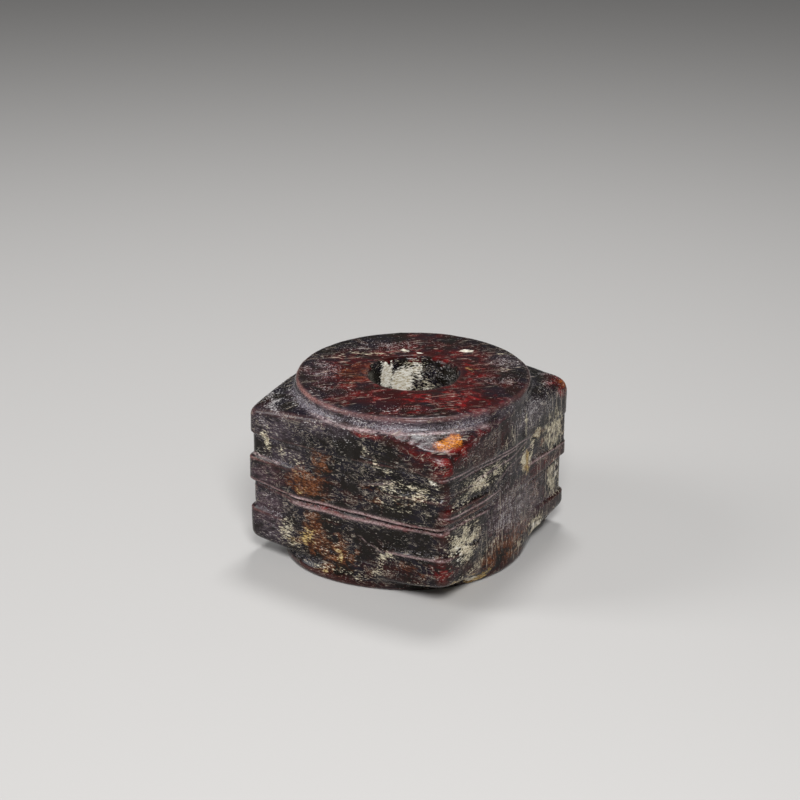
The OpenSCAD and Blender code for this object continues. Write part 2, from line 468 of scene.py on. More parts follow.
def turned(across, up, angle):
    """Vectors in space from their parts across and up at each row and column."""
    spin = np.stack([np.cos(angle), np.sin(angle)])
    return np.stack([across * spin[0], across * spin[1], up], 2).reshape(-1, 3)


def settled():
    """Places of the mesh's vertices, moved on to the stone along their own directions,
    and the wobble of the carved edges at each."""
    angle = column_angles()
    profile = cage(angle)
    out = ways_out(profile)
    p = turned(profile[:, 0], profile[:, 1], angle)
    d = turned(out[:, 0], out[:, 1], angle)
    wobble = 0.6 * layered(p, 13, 3, 41)
    probe, longest, least_slope = 0.05, 2.5, 0.35
    for _ in range(6):
        here = solid(p, wobble)
        slope = (solid(p + probe * d, wobble) - here) / probe
        p = p - np.clip(here / np.maximum(slope, least_slope), -longest, longest)[:, None] * d
    return p, wobble


# Directions across and away in the photo, in plan
ACROSS = np.array([0.843, 0.538])
AWAY = np.array([-0.538, 0.843])

# Patches of each pigment at each place: middle, half sizes and strength, lengths in mm.
# Middles are (x, z) on the left face, (y, z) on the right one, (across, away) on the top,
# (x, y) on the ledges, (across, z) in the bore and (degrees round, z) on the collar's wall.
PATCHES = {
    "maroon": {
        "left": [
            (-44, 50, 18, 7, 0.8), (-50, 30, 12, 12, 0.7), (30, 14, 32, 9, 0.7),
            (-4, 52, 26, 10, 0.5), (46, 80, 16, 6, 0.7), (0, 22, 26, 14, 0.4), (59, 50, 4, 30, 0.8),
            (0, 2, 66, 4, 1.0),
        ],
        "right": [
            (-28, 79, 34, 9, 1.0), (36, 46, 26, 5, 1.1), (-38, 47, 24, 4, 0.9),
            (42, 20, 14, 9, 1.0), (-36, 12, 24, 9, 0.8), (10, 28, 36, 26, 1.0), (0, 2, 66, 4, 1.0),
            (-60, 50, 5, 30, 0.7),
        ],
        "top": [(0, 0, 64, 62, 0.6)],
        "ledge": [(45, -45, 26, 26, 0.5)],
    },
    "red": {
        "left": [
            (61, 78, 1.0, 7, 0.5), (60, 55, 1.5, 14, 0.35), (59.5, 21, 2.5, 6, 1.1),
            (12, 88.5, 10, 1.5, 1.2), (-16, 40.0, 14, 1.3, 1.4), (34, 41.8, 26, 0.9, 0.8),
            (-58, 88, 6, 2, 0.5),
        ],
        "right": [
            (-52, 85, 14, 1.6, 1.2), (-60, 78, 3, 7, 1.2), (-24, 88, 16, 1.5, 0.6),
            (-62, 21, 3, 6, 1.0), (15, 18, 4, 5, 1.0), (55, 84, 9, 4.5, 1.4), (34, 46, 20, 3, 0.5),
        ],
        "top": [
            (-34, -2, 20, 20, 1.0), (2, -34, 40, 13, 1.0), (30, -42, 20, 11, 1.2),
            (6, 27, 27, 7, 1.1), (8, 54, 14, 4, 0.6), (31, 0, 7, 18, 0.9), (0, 0, 34, 34, 1.0),
            (0, -52, 22, 5, 0.7), (53, -22, 8, 12, 0.35),
        ],
        "ledge": [
            (57, 52, 5, 9, 1.1), (22, -58, 12, 4, 1.1), (59.5, -50, 1.6, 12, 1.2),
            (40, -61, 14, 3, 0.7),
        ],
    },
    "amber": {
        "right": [(60, 83, 4, 5, 0.7), (-57, 9, 6, 3, 0.6), (60, 54, 2, 5, 0.5)],
        "top": [(29, 4, 4, 7, 0.25), (-31, 6, 9, 7, 0.35)],
        "ledge": [(54.5, -47.5, 3.8, 6, 1.1), (52.5, -52.5, 4.5, 6, 0.95), (61, 57, 4, 8, 0.6)],
    },
    "rust": {
        "left": [
            (-26, 52, 13, 8, 1.1), (-15, 63, 7, 10, 0.8), (-20, 24, 12, 12, 0.9),
            (-4, 16, 14, 10, 0.9), (-8, 44, 10, 4, 0.5), (18, 55, 7, 5, 0.6), (40, 18, 10, 6, 0.4),
            (38, 60, 10, 4, 0.4),
        ],
        "right": [
            (0, 15, 22, 10, 1.0), (-20, 14, 10, 6, 0.7), (22, 34, 14, 10, 0.4),
            (40, 62, 12, 8, 0.6), (-40, 8, 16, 5, 0.9), (46, 36, 12, 8, 0.5),
        ],
        "top": [(-32, 0, 13, 14, 0.8)],
    },
    "ochre": {
        "left": [
            (-24, 22, 7, 6, 0.8), (-34, 15, 6, 5, 0.6), (-27, 47, 7, 3, 0.5), (-4, 14, 3, 8, 0.7),
            (-8, 5, 22, 2, 0.4), (-34, 57, 8, 4, 0.35), (19, 14, 4, 5, 0.5),
        ],
        "right": [
            (26, 67, 5, 4, 1.2), (15, 55, 5, 8, 1.4), (8, 52, 3, 4, 0.5), (-54, 11, 7, 2.2, 2.4),
            (-41, 7.5, 8, 2.2, 2.6), (-28, 4, 7, 2, 2.4), (-24, 6, 10, 2.5, 0.8),
            (28, 12, 10, 4, 0.5),
        ],
        "top": [(-32, 5, 7, 5, 0.5), (30, 4, 4, 6, 0.7)],
        "bore": [(-6, 84, 5, 4, 0.6)],
    },
    "cream": {
        "left": [
            (36, 62, 18, 5, 0.8), (22, 72, 8, 3, 0.6), (-50, 70, 2.6, 7, 1.0), (-40, 67, 5, 5, 0.6),
            (-38, 22, 5, 8, 0.8), (24, 22, 5, 2.5, 0.9), (20, 14, 3, 5, 0.8), (-32, 14, 7, 5, 0.5),
            (34, 53, 22, 4, 0.35), (-4, 7, 24, 2, 0.5), (46, 8, 8, 4, 0.5), (53, 70, 3, 3, 1.0),
            (13, 78, 2, 3, 0.8), (-30, 62, 5, 3, 0.5), (-8, 20, 18, 12, 0.3),
        ],
        "right": [
            (-43, 33, 14, 11, 1.1), (-28, 60, 24, 6, 0.9), (-52, 56, 6, 6, 0.5),
            (12.5, 56, 2.4, 8, 1.5), (20, 60, 2.2, 8, 1.3), (26, 67, 5, 5, 0.9),
            (-46, 13, 14, 4, 0.8), (-26, 20, 8, 9, 0.6), (30, 12, 13, 5, 1.0), (47, 34, 7, 11, 0.9),
            (46, 62, 14, 13, 0.9), (6, 44, 8, 12, 0.35), (-8, 74, 3, 6, 0.5), (48, 27, 7, 6, 0.8),
            (-34, 14, 8, 4, 0.7), (30, 78, 12, 8, 0.35), (-1, 76, 1.2, 8, 0.8),
            (13, 77, 1.6, 9, 0.8), (8, 50, 1.5, 12, 0.6), (8, 10, 10, 5, 0.6), (-14, 18, 8, 6, 0.5),
            (12, 22, 6, 6, 0.4), (56, 30, 4, 10, 0.8),
        ],
        "top": [
            (28, 31, 4, 2.5, 1.3), (4, 29, 2, 1.2, 1.2), (-5, 32, 2.5, 1.2, 1.2),
            (-24, 28, 12, 2, 0.7), (48, 27, 8, 1.5, 0.7), (48, 4, 9, 3, 0.45),
            (-38, 22, 12, 3, 0.4),
        ],
        "bore": [
            (-14, 88, 4, 12, 1.0), (-4, 84, 7, 11, 0.9), (5, 79, 9, 6, 0.8), (1, 93, 6, 3, 0.8),
        ],
    },
    "chalk": {
        "left": [
            (-55, 61, 3, 2, 0.4), (53, 70, 3, 2, 0.9), (34, 62, 10, 2, 0.5), (-33, 14, 3, 3, 0.3),
        ],
        "right": [
            (-50, 28, 4, 6, 0.8), (-38, 36, 3, 5, 0.6), (30, 12, 9, 2.5, 0.8), (20, 62, 2, 5, 0.6),
            (-28, 61, 7, 2, 0.6), (52, 34, 3, 8, 0.6), (-34, 5, 8, 1.4, 2.4),
            (-50, 10, 7, 1.4, 2.0),
        ],
        "top": [(28, 31, 4, 2.5, 1.3), (4, 29, 2, 1.2, 1.2), (-5, 32, 2.5, 1.2, 1.2)],
        "bore": [
            (-14, 88, 4, 10, 1.5), (-6, 83, 6, 9, 1.4), (2, 89, 5, 5, 1.1), (7, 79, 6, 3, 0.7),
        ],
    },
    "haze": {
        "left": [
            (-46, 79, 16, 8, 0.7), (-38, 64, 12, 7, 0.65), (-54, 48, 12, 7, 0.5),
            (-52, 34, 12, 7, 0.7), (-48, 20, 12, 9, 0.6), (-12, 86, 16, 4, 0.6),
        ],
        "right": [
            (0, 33, 26, 12, 0.6), (18, 81, 18, 8, 0.6), (8, 52, 14, 8, 0.35), (28, 26, 12, 8, 0.4),
        ],
        "top": [(-50, -2, 8, 16, 0.3), (50, 18, 10, 12, 0.25)],
        "ledge": [(30, -56, 24, 5, 0.35), (54, -34, 6, 9, 0.4)],
        "collar": [(-108, 93, 34, 6, 0.9), (-66, 93, 22, 6, 1.0), (-24, 93, 30, 6, 0.7)],
    },
    "bloom": {
        "left": [
            (-52, 80, 8, 6, 0.8), (-40, 66, 10, 7, 0.7), (-52, 37, 10, 5, 0.7),
            (-44, 28, 9, 9, 0.8), (-46, 18, 12, 7, 0.6), (46, 27, 14, 1.5, 0.9),
            (-6, 84, 8, 7, 0.9), (-34, 80, 16, 6, 0.4), (4, 83, 4, 5, 0.7),
            (-10, 88.5, 16, 2.5, 1.0),
        ],
        "right": [
            (4, 32, 30, 14, 1.3), (16, 82, 22, 9, 1.3), (-10, 47, 16, 9, 0.9),
            (-48, 68, 14, 6, 0.3), (36, 80, 18, 9, 1.0), (26, 50, 12, 6, 0.6),
            (-32, 81, 28, 6, 0.6),
        ],
        "top": [
            (-48, 2, 12, 20, 1.2), (50, 14, 12, 14, 0.9), (-20, 40, 28, 10, 0.9),
            (-14, -50, 26, 5, 0.8), (46, -10, 14, 9, 0.7), (-44, -26, 12, 10, 0.8),
        ],
        "ledge": [
            (36, -52, 18, 6, 1.0), (52, -34, 8, 8, 1.1), (-20, -62, 12, 6, 1.0),
            (-50, -50, 18, 18, 1.5), (54, 48, 8, 16, 1.0), (14, -62, 14, 3, 1.1),
        ],
        "collar": [
            (-68, 93, 16, 4, 1.0), (-92, 92, 18, 5, 1.2), (-115, 92, 16, 5, 1.0),
            (-40, 92, 16, 5, 0.8), (-12, 92, 16, 5, 0.8),
        ],
        "bore": [(14, 88, 10, 12, 0.9)],
    },
}

# Noise at places multiplied by this has features a little taller than wide
TALL = np.array([1, 1, 0.8])

# Where edges are worn pink most, in the same form as the patches
WORN = {
    "left": [
        (-46, 86, 30, 6, 1.3), (-56, 58, 14, 5, 0.9), (2, 41, 64, 6, 0.8), (-58, 30, 8, 8, 0.6),
        (18, 86, 24, 4, 0.8),
    ],
    "right": [(-36, 48, 28, 5, 0.4), (40, 50, 26, 4, 0.5)],
    "collar": [(-125, 95, 42, 5, 1.0), (-60, 96, 24, 3, 0.5)],
}

# Pigments of the unseen sides: the level of noise above which each shows, and its seed
STREWN = [
    ("cream", 0.25, 5), ("bloom", 0.05, 6), ("rust", 0.10, 7),
    ("ochre", 0.40, 8), ("maroon", -0.1, 9), ("red", 0.45, 10),
]

# Where streaks run upright, in the same form as the patches
UPRIGHT = {"right": [(12, 26, 44, 30, 1.2), (48, 50, 18, 40, 1.2), (8, 78, 18, 12, 1.2)]}


def cover(p, patches):
    """How strongly a set of patches covers each place, from 0 up."""
    across, away = p[:, :2] @ ACROSS, p[:, :2] @ AWAY
    radius = np.hypot(p[:, 0], p[:, 1])
    degrees = np.degrees(np.arctan2(p[:, 1], p[:, 0]))
    left_y, right_x, ledge_z, collar_r = -64, 61, 87, 63
    in_bore, on_top = radius < MOUTH_R + 1.0, radius > MOUTH_R + 1.5
    # Off a place by this much, a vertex is out of reach of its patches
    shut = 9
    # Two coordinates on each place, and how far off it a vertex lies
    frames = {
        "left": (p[:, 0], p[:, 2], (p[:, 1] - left_y) / 10),
        "right": (p[:, 1], p[:, 2], (p[:, 0] - right_x) / 10),
        "top": (across, away, (p[:, 2] - TOTAL_H) / 3 + in_bore * shut),
        "ledge": (p[:, 0], p[:, 1], (p[:, 2] - ledge_z) / 6),
        "collar": (degrees, p[:, 2], (radius - collar_r) / 4),
        "bore": (across, p[:, 2], on_top * shut + (away < 0) * shut),
    }
    found = np.zeros(len(p))
    for where, spots in patches.items():
        first, second, off = frames[where]
        for a, b, half_a, half_b, strength in spots:
            apart = np.sqrt(((first - a) / half_a) ** 2 + ((second - b) / half_b) ** 2 + off**2)
            found = np.maximum(found, strength * fade((1.7 - apart) / 1.5))
    return found


def normals_of(grid):
    """Outward direction at each vertex of the ring-shaped grid."""
    up = np.roll(grid, -1, 0) - np.roll(grid, 1, 0)
    side = np.roll(grid, -1, 1) - np.roll(grid, 1, 1)
    n = np.cross(up, side)
    return n / np.maximum(np.linalg.norm(n, axis=2, keepdims=True), 1e-9)


def curvature(grid, normals, reach):
    """How convex the surface is about each vertex, per mm, seen over reach vertices."""
    total = 0
    for axis in (0, 1):
        ahead, behind = np.roll(grid, -reach, axis), np.roll(grid, reach, axis)
        gap = ((ahead - grid) ** 2).sum(2) + ((behind - grid) ** 2).sum(2)
        total = total - 2 * ((ahead + behind - 2 * grid) * normals).sum(2) / np.maximum(gap, 0.2)
    return total


def strew(p, marks, facing_up):
    """Adds the same pigments to the unseen sides, strewn by noise."""
    hidden = fade((p[:, :2] @ AWAY - 8) / 16) * (1 - facing_up)
    outside = np.hypot(p[:, 0], p[:, 1]) > MOUTH_R + 2.5
    for name, level, seed in STREWN:
        spots = fade((layered(p * TALL, 16, 4, seed) - level + 0.1) / 0.35) * hidden
        marks[name] = np.maximum(marks[name], spots * outside)


def worn_edges(p, sharp, broad):
    """How worn each place is: convex edges, most of all where WORN lies."""
    patchy = 0.75 + 0.6 * layered(p, 12, 3, 33)
    edges = (fade((sharp - 0.18) / 0.3) * 0.7 + fade((broad - 0.10) / 0.2) * 0.3) * patchy
    return edges * (0.3 + 0.7 * cover(p, WORN))


def crease(p):
    """The pale crease at the foot of the upper collar, on the sides that are seen."""
    crease_r, half_width = 64.6, 0.9
    seen, heights = (-105, -20, 30), (88.5, 92.5, 1.5)
    angle = np.degrees(np.arctan2(p[:, 1], p[:, 0]))
    off = (np.hypot(p[:, 0], p[:, 1]) - crease_r) / half_width
    found = np.exp(-(off**2)) * between(angle, *seen)
    return found * between(p[:, 2], *heights) * (0.7 + 0.5 * layered(p, 10, 2, 34))


def pale_lines(p, wobble):
    """How pale the lines on the two seen faces are."""
    left_y, right_x, reach = -63, 61, 6
    pale = np.zeros(len(p))
    for at, points, half, _, worn in LINES:
        u, off = (p[:, 0], p[:, 1] - left_y) if at == 0 else (p[:, 1], p[:, 0] - right_x)
        found = on_line(points, half * 0.9, u, p[:, 2] + wobble)
        pale = np.maximum(pale, worn * found * (np.abs(off) < reach))
    return pale * (0.8 + 0.5 * layered(p, 7, 3, 32))


def fine_relief(p, marks, sharp, broad):
    """Unevenness of the surface in mm: long waves, and grit where it is crusted."""
    uneven = 0.30 * layered(p, 34, 2, 21) + 0.24 * layered(p, 9, 3, 22)
    grit = 0.07 + 0.14 * marks["cream"] + 0.08 * marks["rust"] + 0.04 * marks["bloom"]
    pits = 0.12 * marks["cream"] * fade(layered(p, 4, 2, 24) * 2)
    rough = grit * layered(p * TALL, 2.6, 2, 23) - pits
    # Edges stay crisp, and the face that it stands on stays flat
    rough = rough * (1 - 0.8 * fade(np.maximum(np.abs(sharp), np.abs(broad)) / 0.25))
    return (uneven + rough) * fade((p[:, 2] - 0.3) / 2.5)


def worn_stone():
    """The stone's vertices in mm, and what its material needs to know at each."""
    p, wobble = settled()
    grid = p.reshape(sum(ROWS.values()), COLUMNS, 3)
    normals = normals_of(grid)
    sharp = curvature(grid, normals, 2).ravel()
    broad = curvature(grid, normals, 4).ravel()
    normals = normals.reshape(-1, 3)
    facing_up = fade((normals[:, 2] - 0.5) / 0.4)
    strayed = p + 3.0 * np.stack([layered(p, 9, 3, seed) for seed in (1, 2, 3)], 1)
    marks = {name: cover(strayed, patches) for name, patches in PATCHES.items()}
    marks["upright"] = cover(strayed, UPRIGHT)
    strew(p, marks, facing_up)
    marks["wear"] = worn_edges(p, sharp, broad)
    marks["hollow"] = fade((-broad - 0.05) / 0.2)
    marks["top"] = facing_up * (p[:, 2] > 80)
    marks["line"] = np.maximum(pale_lines(p, wobble), crease(p))
    p = p + fine_relief(p, marks, sharp, broad)[:, None] * normals
    p[:, 2] = np.clip(p[:, 2], 0, TOTAL_H + 0.4)
    return p, marks


def bake_map(p, rows, columns):
    """Places of each face's corners on the bake's map, in mm over the side of its sheet:
    the outer wall in two strips, the top, the base and the bore."""
    sheet, margin, disc_r, bore_at = 377.0, 2.0, 64, 262
    strip_w, strip_h, bore_w, bore_h = 244.0, 126.0, 210.0, 110.0
    base_scale = 0.88
    starts = dict(zip(ROWS, np.concatenate([[0], np.cumsum(list(ROWS.values()))])))
    rim = starts["rim"] + ROWS["rim"] // 2
    foot = starts["foot"] + ROWS["foot"] // 2
    grid = p.reshape(rows, columns, 3)
    steps = np.linalg.norm(np.diff(np.concatenate([grid, grid[:1]]), axis=0), axis=2).mean(1)
    run = np.concatenate([[0], np.cumsum(steps)])
    i, j = np.meshgrid(np.arange(rows), np.arange(columns), indexing="ij")
    corner_i = np.stack([i, i + 1, i + 1, i], 2)
    corner_j = np.stack([j, j, j + 1, j + 1], 2)
    place = grid[corner_i % rows, corner_j % columns]
    uv = np.zeros((rows, columns, 4, 2))

    def share(first, last):
        """How far round the profile each corner lies from one row to another."""
        return (run[corner_i] - run[first]) / (run[last] - run[first])

    # Half of the outer wall is on one strip, and the other half on a strip above it
    half = columns // 2
    second = (j >= half)[:, :, None]
    across = margin + (corner_j - half * second) / half * strip_w
    up = margin + share(rim, foot) * strip_h + second * (strip_h + margin)
    side = (i >= rim) & (i < foot)
    uv[side] = np.stack([across, up], 3)[side]
    top, base, bore = (i >= starts["top"]) & (i < rim), i >= foot, i < starts["top"]
    disc = np.array([margin * 2 + strip_w + disc_r, margin + disc_r])
    uv[top] = (place[:, :, :, :2] + disc)[top]
    disc = disc + [0, 2 * disc_r + margin]
    uv[base] = (place[:, :, :, :2] * [1, -1] * base_scale + disc)[base]
    fall = bore_at + share(0, starts["top"]) * bore_h
    uv[bore] = np.stack([margin + corner_j / columns * bore_w, fall], 3)[bore]
    return uv.reshape(-1, 2) / sheet


def stone_mesh():
    """The stone as a closed mesh, with its bake map and what its material reads."""
    p, marks = worn_stone()
    rows, columns = sum(ROWS.values()), COLUMNS
    ids = np.arange(rows * columns).reshape(rows, columns)
    right = np.roll(ids, -1, 1)
    quads = np.stack([ids, np.roll(ids, -1, 0), np.roll(right, -1, 0), right], 2).reshape(-1, 4)
    mesh = bpy.data.meshes.new("cong_stone")
    mesh.vertices.add(len(p))
    mesh.vertices.foreach_set("co", (p * MM).astype(np.float32).ravel())
    mesh.loops.add(quads.size)
    mesh.loops.foreach_set("vertex_index", quads.astype(np.int32).ravel())
    mesh.polygons.add(len(quads))
    mesh.polygons.foreach_set("loop_start", np.arange(0, quads.size, 4, dtype=np.int32))
    mesh.update(calc_edges=True)
    mesh.polygons.foreach_set("use_smooth", np.ones(len(quads), bool))
    layer = mesh.uv_layers.new(name="OFBake")
    layer.uv.foreach_set("vector", bake_map(p, rows, columns).astype(np.float32).ravel())
    for name, values in marks.items():
        attribute = mesh.attributes.new(name, "FLOAT", "POINT")
        attribute.data.foreach_set("value", values.astype(np.float32))
    return mesh


class Nodes:
    """Short names for the shader nodes that the stone's material uses."""

    def __init__(self, name):
        self.mat = bpy.data.materials.new(name)
        self.mat.use_nodes = True
        self.tree = self.mat.node_tree
        self.bsdf = self.tree.nodes["Principled BSDF"]
        self.place = self.add("ShaderNodeTexCoord").outputs["Object"]

    def add(self, kind, **settings):
        """A new node of a kind, with its settings."""
        node = self.tree.nodes.new(kind)
        for key, value in settings.items():
            setattr(node, key, value)
        return node

    def put(self, socket, value):
        """Gives an input a value, or links an output to it."""
        if isinstance(value, bpy.types.NodeSocket):
            self.tree.links.new(value, socket)
        else:
            socket.default_value = value

    def mark(self, name):
        """A value stored at the mesh's vertices."""
        return self.add("ShaderNodeAttribute", attribute_name=name).outputs["Fac"]

    def math(self, operation, a, b=0.0, clamp=False):
        """Result of an operation on one or two numbers."""
        node = self.add("ShaderNodeMath", operation=operation, use_clamp=clamp)
        self.put(node.inputs[0], a)
        self.put(node.inputs[1], b)
        return node.outputs[0]

    def times(self, a, b, clamp=False):
        """One number times another, kept from 0 to 1 where clamp is true."""
        return self.math("MULTIPLY", a, b, clamp)

    def noise(self, size, stretch=(1, 1, 1), detail=2.0, turn=0.0, warp=0.0):
        """Noise with features size mm across, stretched along the axes."""
        mapping = self.add("ShaderNodeMapping", vector_type="TEXTURE")
        self.put(mapping.inputs["Vector"], self.place)
        mapping.inputs["Rotation"].default_value = (0, 0, turn)
        mapping.inputs["Scale"].default_value = [s * size * MM for s in stretch]
        node = self.add("ShaderNodeTexNoise")
        self.put(node.inputs["Vector"], mapping.outputs[0])
        node.inputs["Scale"].default_value = 1.0
        node.inputs["Detail"].default_value = detail
        node.inputs["Roughness"].default_value = 0.6
        node.inputs["Distortion"].default_value = warp
        return node.outputs["Fac"]

    def rise(self, value, start, end):
        """Smooth step from 0 at start to 1 at end."""
        node = self.add("ShaderNodeMapRange", interpolation_type="SMOOTHSTEP")
        self.put(node.inputs["Value"], value)
        self.put(node.inputs["From Min"], start)
        self.put(node.inputs["From Max"], end)
        return node.outputs["Result"]

    def mix(self, amount, a, b):
        """From colour a to colour b."""
        node = self.add("ShaderNodeMix", data_type="RGBA")
        self.put(node.inputs["Factor"], amount)
        for socket, value in ((node.inputs["A"], a), (node.inputs["B"], b)):
            self.put(socket, value if isinstance(value, bpy.types.NodeSocket) else (*value, 1))
        return node.outputs["Result"]

    def blend(self, amount, a, b):
        """From number a to number b."""
        node = self.add("ShaderNodeMix", data_type="FLOAT")
        for name, value in (("Factor", amount), ("A", a), ("B", b)):
            self.put(node.inputs[name], value)
        return node.outputs["Result"]

    def flecks(self, grain, share, soft=0.05):
        """Flecks of a grain that cover about this share of the surface, from 0 to 1."""
        level = self.math("SUBTRACT", 0.72, self.times(share, 0.44))
        low, high = self.math("SUBTRACT", level, soft), self.math("ADD", level, soft)
        return self.times(self.rise(grain, low, high), self.rise(share, 0.0, 0.08))

    def coat(self, colour, cover, tones, grain, start, end):
        """A colour with a coat over it, whose two tones follow a grain."""
        return self.mix(cover, colour, self.mix(self.rise(grain, start, end), *TONES[tones]))


# Two tones of each coat, where its grain is low and where it is high
TONES = {
    "black": ((0.008, 0.006, 0.0045), (0.009, 0.007, 0.011)),
    "maroon": ((0.014, 0.004, 0.004), (0.038, 0.009, 0.008)),
    "blood": ((0.032, 0.002, 0.002), (0.17, 0.005, 0.006)),
    "rust": ((0.035, 0.010, 0.005), (0.21, 0.070, 0.022)),
    "haze": ((0.042, 0.028, 0.040), (0.19, 0.145, 0.175)),
    "specks": ((0.10, 0.08, 0.07), (0.36, 0.33, 0.28)),
    "ochre": ((0.15, 0.07, 0.02), (0.58, 0.44, 0.17)),
    "amber": ((0.16, 0.032, 0.010), (0.56, 0.20, 0.020)),
    "dots": ((0.16, 0.135, 0.14), (0.54, 0.52, 0.52)),
    "cream": ((0.33, 0.28, 0.18), (0.74, 0.68, 0.53)),
    "chalk": ((0.44, 0.37, 0.24), (0.84, 0.81, 0.73)),
    "worn": ((0.20, 0.075, 0.068), (0.34, 0.175, 0.155)),
    "line": ((0.29, 0.18, 0.19), (0.56, 0.44, 0.43)),
}
DEEP_BLACK = (0.003, 0.0025, 0.002)
VEIN = (0.42, 0.36, 0.29)
DUST = (0.30, 0.28, 0.31)
# Turn of the streaks on the top, which run across in the photo
TURN = math.atan2(ACROSS[1], ACROSS[0])


def add_grains(n):
    """The noises that the coats share."""
    # Three grains of speckle: level on the faces, upright on part of them, across the top
    level = n.noise(0.85, (2.4, 2.4, 0.75), 3, warp=0.4)
    upright = n.noise(0.85, (0.75, 0.75, 4.5), 3, warp=0.3)
    across = n.noise(0.95, (3.2, 0.9, 1), 3, turn=TURN, warp=0.5)
    n.grain = n.blend(n.mark("top"), n.blend(n.mark("upright"), level, upright), across)
    n.fine = n.noise(0.8, (1, 1, 1), 2)
    n.grit = n.noise(0.65, (1.2, 1.2, 0.9), 1)
    n.hue = n.noise(9, (1.3, 1.3, 0.8), 3)
    n.cloud = n.noise(5, (1.6, 1.6, 0.9), 4, warp=0.6)
    n.streak = n.noise(3.0, (5, 1.2, 1), 4, turn=TURN, warp=0.8)


def dark_stone(n):
    """Greenish to bluish black, and maroon, blood red and rust in places."""
    black = n.mix(n.rise(n.hue, 0.42, 0.58), *TONES["black"])
    colour = n.mix(n.rise(n.cloud, 0.48, 0.62), black, DEEP_BLACK)
    maroon = n.flecks(n.cloud, n.times(n.mark("maroon"), 0.85), 0.14)
    colour = n.coat(colour, maroon, "maroon", n.grain, 0.4, 0.6)
    streaks = n.rise(n.blend(0.25, n.streak, n.grain), 0.38, 0.50)
    red = n.times(n.mark("red"), streaks, clamp=True)
    colour = n.coat(colour, red, "blood", n.cloud, 0.42, 0.66)
    rust = n.flecks(n.cloud, n.times(n.mark("rust"), 0.7), 0.12)
    return n.coat(colour, n.times(rust, 0.85), "rust", n.grain, 0.42, 0.60)


def pigments(n, colour):
    """A grey-violet haze, pale specks, ochre and amber."""
    haze = n.times(n.mark("haze"), n.rise(n.cloud, 0.26, 0.60), clamp=True)
    colour = n.coat(colour, n.times(haze, 0.75), "haze", n.grain, 0.35, 0.65)
    # Specks lie everywhere, thick in some clouds and thin in others
    n.specks = n.flecks(n.grain, n.times(n.rise(n.cloud, 0.36, 0.70), 0.32), 0.04)
    colour = n.coat(colour, n.times(n.specks, 0.8), "specks", n.fine, 0.4, 0.6)
    ochre = n.flecks(n.blend(0.5, n.grain, n.cloud), n.times(n.mark("ochre"), 0.62), 0.06)
    colour = n.coat(colour, n.times(ochre, 0.85), "ochre", n.grain, 0.42, 0.6)
    amber = n.flecks(n.blend(0.5, n.fine, n.cloud), n.times(n.mark("amber"), 0.85), 0.10)
    glow = n.times(n.rise(n.fine, 0.38, 0.60), n.rise(n.mark("amber"), 0.35, 1.0))
    return n.mix(amber, colour, n.mix(glow, *TONES["amber"]))


def crusts(n, colour):
    """Fine grey-white dots, dense where the stone has a bloom, and cream and chalk."""
    bloom = n.times(n.mark("bloom"), n.blend(n.rise(n.cloud, 0.40, 0.62), 0.10, 0.34))
    n.dots = n.flecks(n.blend(0.3, n.grit, n.grain), n.math("ADD", bloom, 0.06), 0.05)
    colour = n.coat(colour, n.times(n.dots, 0.75), "dots", n.grain, 0.35, 0.65)
    crust = n.times(n.mark("cream"), n.blend(n.rise(n.cloud, 0.36, 0.58), 0.45, 1.0))
    n.cream = n.flecks(n.grain, n.times(crust, 0.74), 0.06)
    colour = n.coat(colour, n.times(n.cream, 0.95), "cream", n.fine, 0.38, 0.62)
    chalk = n.flecks(n.blend(0.35, n.grain, n.cloud), n.times(n.mark("chalk"), 0.62), 0.05)
    return n.coat(colour, chalk, "chalk", n.grain, 0.38, 0.6)


def veins(n, colour):
    """Thin cream threads on the sides, streaks over the top, and upright drips."""
    thread = n.noise(4.5, (1.8, 1.8, 0.7), 3, warp=1.2)
    thread = n.rise(n.math("ABSOLUTE", n.math("SUBTRACT", thread, 0.5)), 0.016, 0.004)
    thread = n.times(thread, n.rise(n.hue, 0.46, 0.56))
    streak = n.noise(2.4, (5, 0.6, 1), 3, turn=TURN + 0.25, warp=1.0)
    drip = n.rise(n.noise(1.3, (0.9, 0.9, 22), 2, warp=0.3), 0.58, 0.66)
    drip = n.times(drip, n.mark("upright"), clamp=True)
    vein = n.blend(n.mark("top"), thread, n.rise(streak, 0.62, 0.69))
    vein = n.math("MAXIMUM", vein, n.times(drip, n.rise(n.grain, 0.38, 0.52)))
    return n.mix(n.times(vein, 0.65), colour, VEIN)


def edges(n, colour):
    """Edges worn a dusty pink, pale lines, and grey dust in the hollows."""
    worn = n.times(n.mark("wear"), n.rise(n.fine, 0.25, 0.50), clamp=True)
    colour = n.coat(colour, n.times(worn, 0.75), "worn", n.fine, 0.35, 0.65)
    line = n.times(n.mark("line"), n.rise(n.grain, 0.34, 0.52), clamp=True)
    colour = n.coat(colour, n.times(line, 0.9), "line", n.fine, 0.35, 0.65)
    dust = n.flecks(n.grit, n.times(n.mark("hollow"), n.blend(n.mark("haze"), 0.2, 0.6)), 0.12)
    return n.mix(n.times(dust, 0.6), colour, DUST)


